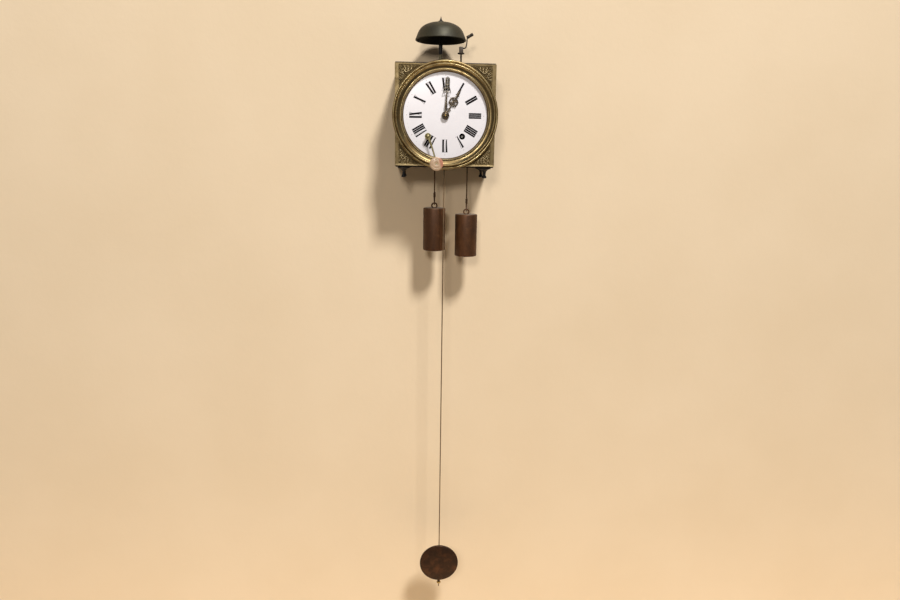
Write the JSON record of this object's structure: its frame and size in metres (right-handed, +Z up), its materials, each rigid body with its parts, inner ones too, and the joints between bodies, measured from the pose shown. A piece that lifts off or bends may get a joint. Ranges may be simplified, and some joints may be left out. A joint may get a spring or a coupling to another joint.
{
  "type": "wag-on-the-wall clock",
  "caption": "Iron-cased wall clock with round bezel, bell on top, two cylinder weights on cords and a long pendulum.",
  "frame": {"origin": "centre of the back plate's rear face, at the height of the hands' centre", "axes": "+Z up, +X to the viewer's right, -Y towards the viewer"},
  "size_m": [0.268, 0.166, 1.607],
  "materials": {
    "iron": "dull black paint over iron, chipped at the edges",
    "stamped_brass": "stamped sheet brass, tarnished olive with lighter relief",
    "bezel_brass": "aged brass, brown in the hollows and bright on the bead",
    "white_enamel": "glossy white enamel with dark numerals",
    "wheel_brass": "satin brass",
    "steel": "bright steel",
    "dark_bronze": "dark bronze, lighter on the raised edges",
    "bell_metal": "dark olive bell metal",
    "cord": "twisted brown cord",
    "weight_iron": "rusty brown cast iron",
    "bob_brass": "dark brown brass, polished in patches",
    "rod_brass": "drawn brass rod"
  },
  "bodies": {
    "case": {"top_plate": "iron", "bottom_plate": "iron", "back_plate": "iron", "left_rear_pillar": "iron", "left_front_pillar": "iron", "right_rear_pillar": "iron", "right_front_pillar": "iron", "wall_hoop": "iron", "front_plate": "stamped_brass", "bezel": "bezel_brass", "dial": "white_enamel", "going_rear_bar": "iron", "going_front_bar": "iron", "strike_rear_bar": "iron", "strike_front_bar": "iron", "motion_bridge": "wheel_brass", "pendulum_cock": "iron", "bell_post": "iron", "bell": "bell_metal", "bell_nut": "iron", "left_cord": "cord", "right_cord": "cord"},
    "left_door": {"left_door": "iron"},
    "right_door": {"right_door": "iron"},
    "going_barrel": {"going_winding_arbor": "steel", "going_drum": "wheel_brass", "going_cord_turns": "cord"},
    "strike_barrel": {"strike_winding_arbor": "steel", "strike_drum": "wheel_brass", "strike_cord_turns": "cord"},
    "going_great": {"going_great_wheel": "wheel_brass"},
    "strike_great": {"strike_great_wheel": "wheel_brass"},
    "going_pawl": {"going_click": "steel"},
    "strike_pawl": {"strike_click": "steel"},
    "second": {"second_wheel": "wheel_brass"},
    "third": {"third_wheel": "wheel_brass"},
    "escape": {"escape_wheel": "wheel_brass"},
    "setting": {"setting_wheel": "wheel_brass"},
    "minute": {"minute_pipe": "wheel_brass", "minute_hand": "dark_bronze"},
    "motion": {"motion_wheel": "wheel_brass"},
    "hour": {"hour_wheel": "wheel_brass", "hour_hand": "dark_bronze"},
    "escapement": {"anchor": "steel", "crutch": "steel"},
    "pendulum": {"suspension_spring": "steel", "pendulum_rod": "rod_brass"},
    "bob": {"pendulum_bob": "bob_brass"},
    "nut": {"rating_nut": "wheel_brass"},
    "pins": {"pin_wheel": "wheel_brass"},
    "warning": {"warning_wheel": "wheel_brass"},
    "fly": {"fly": "wheel_brass"},
    "hammer": {"hammer_stem": "iron", "hammer_arm": "iron", "hammer_head": "iron"},
    "left_weight": {"left_weight": "weight_iron"},
    "right_weight": {"right_weight": "weight_iron"}
  },
  "joints": [
    {"name": "left_door_hinge", "type": "hinge", "parent": "case", "child": "left_door", "pos_m": [-0.1216, -0.0098, 0], "axis": [0, 0, 1], "range_deg": [-90, 0]},
    {"name": "right_door_hinge", "type": "hinge", "parent": "case", "child": "right_door", "pos_m": [0.1216, -0.0098, 0], "axis": [0, 0, 1], "range_deg": [0, 90]},
    {"name": "left_weight_drop", "type": "slide", "parent": "case", "child": "left_weight", "axis": [0, 0, 1], "range_m": [-0.75, 0.04], "deforming": ["left_cord"]},
    {"name": "right_weight_drop", "type": "slide", "parent": "case", "child": "right_weight", "axis": [0, 0, 1], "range_m": [-0.75, 0.04], "deforming": ["right_cord"]},
    {"name": "going_barrel_turn", "type": "hinge", "parent": "case", "child": "going_barrel", "pos_m": [-0.0435, -0.075, -0.051], "axis": [0, 1, 0], "continuous": true},
    {"name": "strike_barrel_turn", "type": "hinge", "parent": "case", "child": "strike_barrel", "pos_m": [0.0435, -0.075, -0.051], "axis": [0, 1, 0], "continuous": true},
    {"name": "third_turn", "type": "hinge", "parent": "case", "child": "third", "pos_m": [-0.01857, -0.0335, 0.02354], "axis": [0, 1, 0], "continuous": true},
    {"name": "going_great_turn", "type": "hinge", "parent": "case", "child": "going_great", "pos_m": [-0.0435, -0.038, -0.051], "axis": [0, 1, 0], "continuous": true},
    {"name": "second_turn", "type": "hinge", "parent": "case", "child": "second", "pos_m": [-0.02634, -0.0435, -0.00956], "axis": [0, 1, 0], "continuous": true},
    {"name": "escape_turn", "type": "hinge", "parent": "case", "child": "escape", "pos_m": [0, -0.1, 0.05027], "axis": [0, 1, 0], "continuous": true},
    {"name": "warning_turn", "type": "hinge", "parent": "case", "child": "warning", "pos_m": [0.05499, -0.0335, 0.02396], "axis": [0, 1, 0], "continuous": true},
    {"name": "strike_great_turn", "type": "hinge", "parent": "case", "child": "strike_great", "pos_m": [0.0435, -0.038, -0.051], "axis": [0, 1, 0], "continuous": true},
    {"name": "pin_wheel_turn", "type": "hinge", "parent": "case", "child": "pins", "pos_m": [0.06066, -0.0435, -0.00956], "axis": [0, 1, 0], "continuous": true},
    {"name": "fly_turn", "type": "hinge", "parent": "case", "child": "fly", "pos_m": [0.058, -0.0775, 0.05637], "axis": [0, 1, 0], "continuous": true},
    {"name": "going_pawl_lift", "type": "hinge", "parent": "going_great", "child": "going_pawl", "pos_m": [-0.05901, -0.0411, -0.05664], "axis": [0, 1, 0], "range_deg": [0, 14]},
    {"name": "strike_pawl_lift", "type": "hinge", "parent": "strike_great", "child": "strike_pawl", "pos_m": [0.02799, -0.0411, -0.05664], "axis": [0, 1, 0], "range_deg": [0, 14]},
    {"name": "minute_turn", "type": "hinge", "parent": "case", "child": "minute", "pos_m": [0, -0.1636, 0], "axis": [0, 1, 0], "continuous": true},
    {"name": "setting_turn", "type": "hinge", "parent": "case", "child": "setting", "pos_m": [-0.02634, -0.1265, -0.00956], "axis": [0, 1, 0], "continuous": true},
    {"name": "motion_turn", "type": "hinge", "parent": "case", "child": "motion", "pos_m": [0.024, -0.1305, 0], "axis": [0, 1, 0], "continuous": true},
    {"name": "hour_turn", "type": "hinge", "parent": "case", "child": "hour", "pos_m": [0, -0.16, 0], "axis": [0, 1, 0], "continuous": true},
    {"name": "pendulum_swing", "type": "hinge", "parent": "case", "child": "pendulum", "pos_m": [0, -0.1225, 0.08], "axis": [0, 1, 0], "range_deg": [-2.2, 2.2]},
    {"name": "anchor_rock", "type": "hinge", "parent": "case", "child": "escapement", "pos_m": [0, -0.1, 0.08], "axis": [0, 1, 0], "range_deg": [-2.2, 2.2]},
    {"name": "bob_lift", "type": "slide", "parent": "pendulum", "child": "bob", "axis": [0, 0, 1], "range_m": [0, 0.012]},
    {"name": "rating_nut_turn", "type": "hinge", "parent": "pendulum", "child": "nut", "pos_m": [0, -0.1225, -1.3465], "axis": [0, 0, 1], "continuous": true},
    {"name": "hammer_lift", "type": "hinge", "parent": "case", "child": "hammer", "pos_m": [0.04, -0.104, 0.09], "axis": [0, 0, 1], "range_deg": [-22, 0], "stiffness_Nm_per_rad": 0.15}
  ],
  "couplings": [
    {"joint": "going_barrel_turn", "follows": "left_weight_drop", "rad_per_m": -50},
    {"joint": "strike_barrel_turn", "follows": "right_weight_drop", "rad_per_m": -50},
    {"joint": "second_turn", "follows": "third_turn", "ratio": -0.13333},
    {"joint": "going_great_turn", "follows": "third_turn", "ratio": 0.011111},
    {"joint": "escape_turn", "follows": "third_turn", "ratio": -6.75},
    {"joint": "pin_wheel_turn", "follows": "warning_turn", "ratio": -0.13333},
    {"joint": "strike_great_turn", "follows": "warning_turn", "ratio": 0.011111},
    {"joint": "fly_turn", "follows": "warning_turn", "ratio": -6.75},
    {"joint": "setting_turn", "follows": "minute_turn", "ratio": -1},
    {"joint": "motion_turn", "follows": "minute_turn", "ratio": -0.33333},
    {"joint": "hour_turn", "follows": "minute_turn", "ratio": 0.083333},
    {"joint": "anchor_rock", "follows": "pendulum_swing", "ratio": 1}
  ]
}
